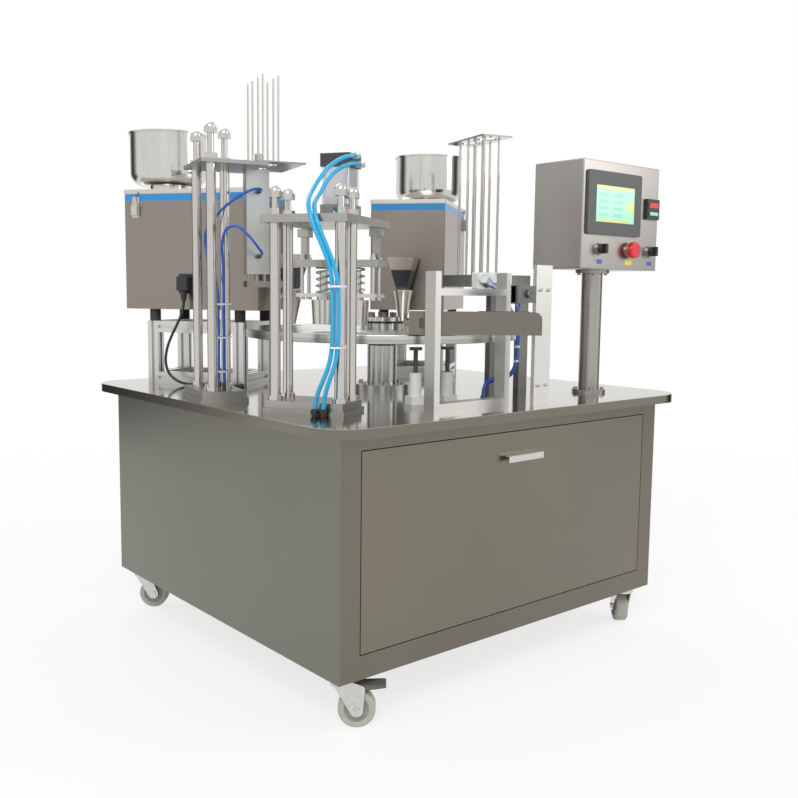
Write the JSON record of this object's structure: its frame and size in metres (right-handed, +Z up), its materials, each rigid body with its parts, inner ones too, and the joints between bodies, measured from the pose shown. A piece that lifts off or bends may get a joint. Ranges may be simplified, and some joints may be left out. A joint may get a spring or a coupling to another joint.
{
  "type": "rotary cup filling and sealing machine",
  "caption": "Rotary two-lane packing machine: cups drop into an indexing turntable, are filled from weighing hoppers, lidded, heat sealed and pushed out.",
  "frame": {"origin": "on the floor under the middle of the cabinet", "axes": "+Z up, -Y out of the access door, +X to the operator's right"},
  "size_m": [1.1109, 1.1479, 1.33],
  "materials": {
    "frame_steel": "satin square tube",
    "sheet_steel": "brushed stainless sheet",
    "caster_zinc": "bright zinc plate",
    "wheel_rubber": "matte, pale core",
    "pedal_plastic": "matte",
    "machined_steel": "turned and ground",
    "bearing_black": "matte",
    "drive_paint": "semi-gloss paint",
    "disc_aluminium": "fine turned face",
    "plate_aluminium": "milled",
    "column_chrome": "polished rod",
    "nut_chrome": "polished",
    "cylinder_aluminium": "anodised, with dark end caps",
    "spring_steel": "bright wire",
    "cylinder_white": "satin white",
    "block_plastic": "pale machined plastic",
    "hopper_steel": "polished stainless sheet",
    "profile_aluminium": "anodised profile",
    "foot_rubber": "matte",
    "pad_plastic": "matte",
    "panel_black": "matte bezel with a glossy screen",
    "stop_red": "glossy",
    "knob_black": "matte"
  },
  "bodies": {
    "machine": {"cabinet_frame": "frame_steel", "body_panels": "sheet_steel", "table_top": "sheet_steel", "caster_plates": "caster_zinc", "index_column": "machined_steel", "column_ring": "bearing_black", "index_gearbox": "drive_paint", "drive_motor": "drive_paint", "station_base_plates": "plate_aluminium", "station_columns": "column_chrome", "column_nuts": "nut_chrome", "seal_top_plate": "plate_aluminium", "seal_cylinder": "cylinder_aluminium", "lid_top_plate": "plate_aluminium", "lid_rods": "column_chrome", "lid_cylinder": "cylinder_aluminium", "denester_block": "block_plastic", "denester_cylinder": "cylinder_white", "magazine_rods": "column_chrome", "filler_stands": "profile_aluminium", "filler_feet": "foot_rubber", "filler_cases": "sheet_steel", "hopper_bowls": "hopper_steel", "filler_spouts": "hopper_steel", "filling_cones": "hopper_steel", "output_frame": "plate_aluminium", "output_chute": "sheet_steel", "sensor_post": "plate_aluminium", "eject_cylinders": "cylinder_white", "control_pole": "sheet_steel", "control_box": "sheet_steel", "touch_panel": "panel_black", "temperature_controller": "panel_black"},
    "door": {"access_door": "sheet_steel"},
    "turntable": {"turntable_disc": "disc_aluminium", "turntable_hub": "machined_steel"},
    "crosshead": {"seal_crosshead": "plate_aluminium", "seal_springs": "spring_steel"},
    "heads": {"seal_heads": "machined_steel"},
    "suction_arm": {"lid_arm": "plate_aluminium"},
    "denester_gate": {"denester_slide": "plate_aluminium"},
    "ejectors": {"eject_pushers": "pad_plastic"},
    "emergency_stop": {"stop_button": "stop_red"},
    "left_selector": {"selector_left": "knob_black"},
    "right_selector": {"selector_right": "knob_black"},
    "fork_1": {"caster_fork_1": "caster_zinc"},
    "wheel_1": {"caster_wheel_1": "wheel_rubber"},
    "pedal_1": {"brake_pedal_1": "pedal_plastic"},
    "fork_2": {"caster_fork_2": "caster_zinc"},
    "wheel_2": {"caster_wheel_2": "wheel_rubber"},
    "pedal_2": {"brake_pedal_2": "pedal_plastic"},
    "fork_3": {"caster_fork_3": "caster_zinc"},
    "wheel_3": {"caster_wheel_3": "wheel_rubber"},
    "fork_4": {"caster_fork_4": "caster_zinc"},
    "wheel_4": {"caster_wheel_4": "wheel_rubber"}
  },
  "joints": [
    {"name": "door_hinge", "type": "hinge", "parent": "machine", "child": "door", "pos_m": [0, -0.4855, 0.1595], "axis": [1, 0, 0], "range_deg": [0, 90]},
    {"name": "turntable_spin", "type": "hinge", "parent": "machine", "child": "turntable", "pos_m": [-0.055, -0.07, 0.753], "axis": [0, 0, 1], "continuous": true},
    {"name": "seal_press", "type": "slide", "parent": "machine", "child": "crosshead", "axis": [0, 0, -1], "range_m": [0, 0.015]},
    {"name": "seal_head_float", "type": "slide", "parent": "crosshead", "child": "heads", "axis": [0, 0, 1], "range_m": [0, 0.006], "deforming": ["seal_springs"]},
    {"name": "suction_arm_slide", "type": "slide", "parent": "machine", "child": "suction_arm", "axis": [0, 0, -1], "range_m": [0, 0.068]},
    {"name": "denester_gate_slide", "type": "slide", "parent": "machine", "child": "denester_gate", "axis": [0.2588, 0.9659, 0], "range_m": [0, 0.012]},
    {"name": "ejector_lift", "type": "slide", "parent": "machine", "child": "ejectors", "axis": [0, 0, 1], "range_m": [0, 0.04]},
    {"name": "stop_push", "type": "slide", "parent": "machine", "child": "emergency_stop", "axis": [0, 1, 0], "range_m": [0, 0.004]},
    {"name": "left_selector_turn", "type": "hinge", "parent": "machine", "child": "left_selector", "pos_m": [0.295, -0.456, 0.961], "axis": [0, -1, 0], "range_deg": [-45, 45]},
    {"name": "right_selector_turn", "type": "hinge", "parent": "machine", "child": "right_selector", "pos_m": [0.497, -0.456, 0.961], "axis": [0, -1, 0], "range_deg": [-45, 45]},
    {"name": "caster_swivel_1", "type": "hinge", "parent": "machine", "child": "fork_1", "pos_m": [-0.455, -0.445, 0.095], "axis": [0, 0, 1], "continuous": true},
    {"name": "wheel_spin_1", "type": "hinge", "parent": "fork_1", "child": "wheel_1", "pos_m": [-0.43432, -0.46236, 0.0375], "axis": [-0.6428, -0.766, 0], "continuous": true},
    {"name": "brake_pedal_1_press", "type": "hinge", "parent": "fork_1", "child": "pedal_1", "pos_m": [-0.42589, -0.46943, 0.082], "axis": [-0.6428, -0.766, 0], "range_deg": [-14, 0]},
    {"name": "caster_swivel_2", "type": "hinge", "parent": "machine", "child": "fork_2", "pos_m": [0.455, -0.445, 0.095], "axis": [0, 0, 1], "continuous": true},
    {"name": "wheel_spin_2", "type": "hinge", "parent": "fork_2", "child": "wheel_2", "pos_m": [0.47236, -0.42432, 0.0375], "axis": [0.766, -0.6428, 0], "continuous": true},
    {"name": "brake_pedal_2_press", "type": "hinge", "parent": "fork_2", "child": "pedal_2", "pos_m": [0.47943, -0.41589, 0.082], "axis": [0.766, -0.6428, 0], "range_deg": [-14, 0]},
    {"name": "caster_swivel_3", "type": "hinge", "parent": "machine", "child": "fork_3", "pos_m": [-0.455, 0.445, 0.095], "axis": [0, 0, 1], "continuous": true},
    {"name": "wheel_spin_3", "type": "hinge", "parent": "fork_3", "child": "wheel_3", "pos_m": [-0.43432, 0.42764, 0.0375], "axis": [-0.6428, -0.766, 0], "continuous": true},
    {"name": "caster_swivel_4", "type": "hinge", "parent": "machine", "child": "fork_4", "pos_m": [0.455, 0.445, 0.095], "axis": [0, 0, 1], "continuous": true},
    {"name": "wheel_spin_4", "type": "hinge", "parent": "fork_4", "child": "wheel_4", "pos_m": [0.47568, 0.42764, 0.0375], "axis": [-0.6428, -0.766, 0], "continuous": true}
  ]
}
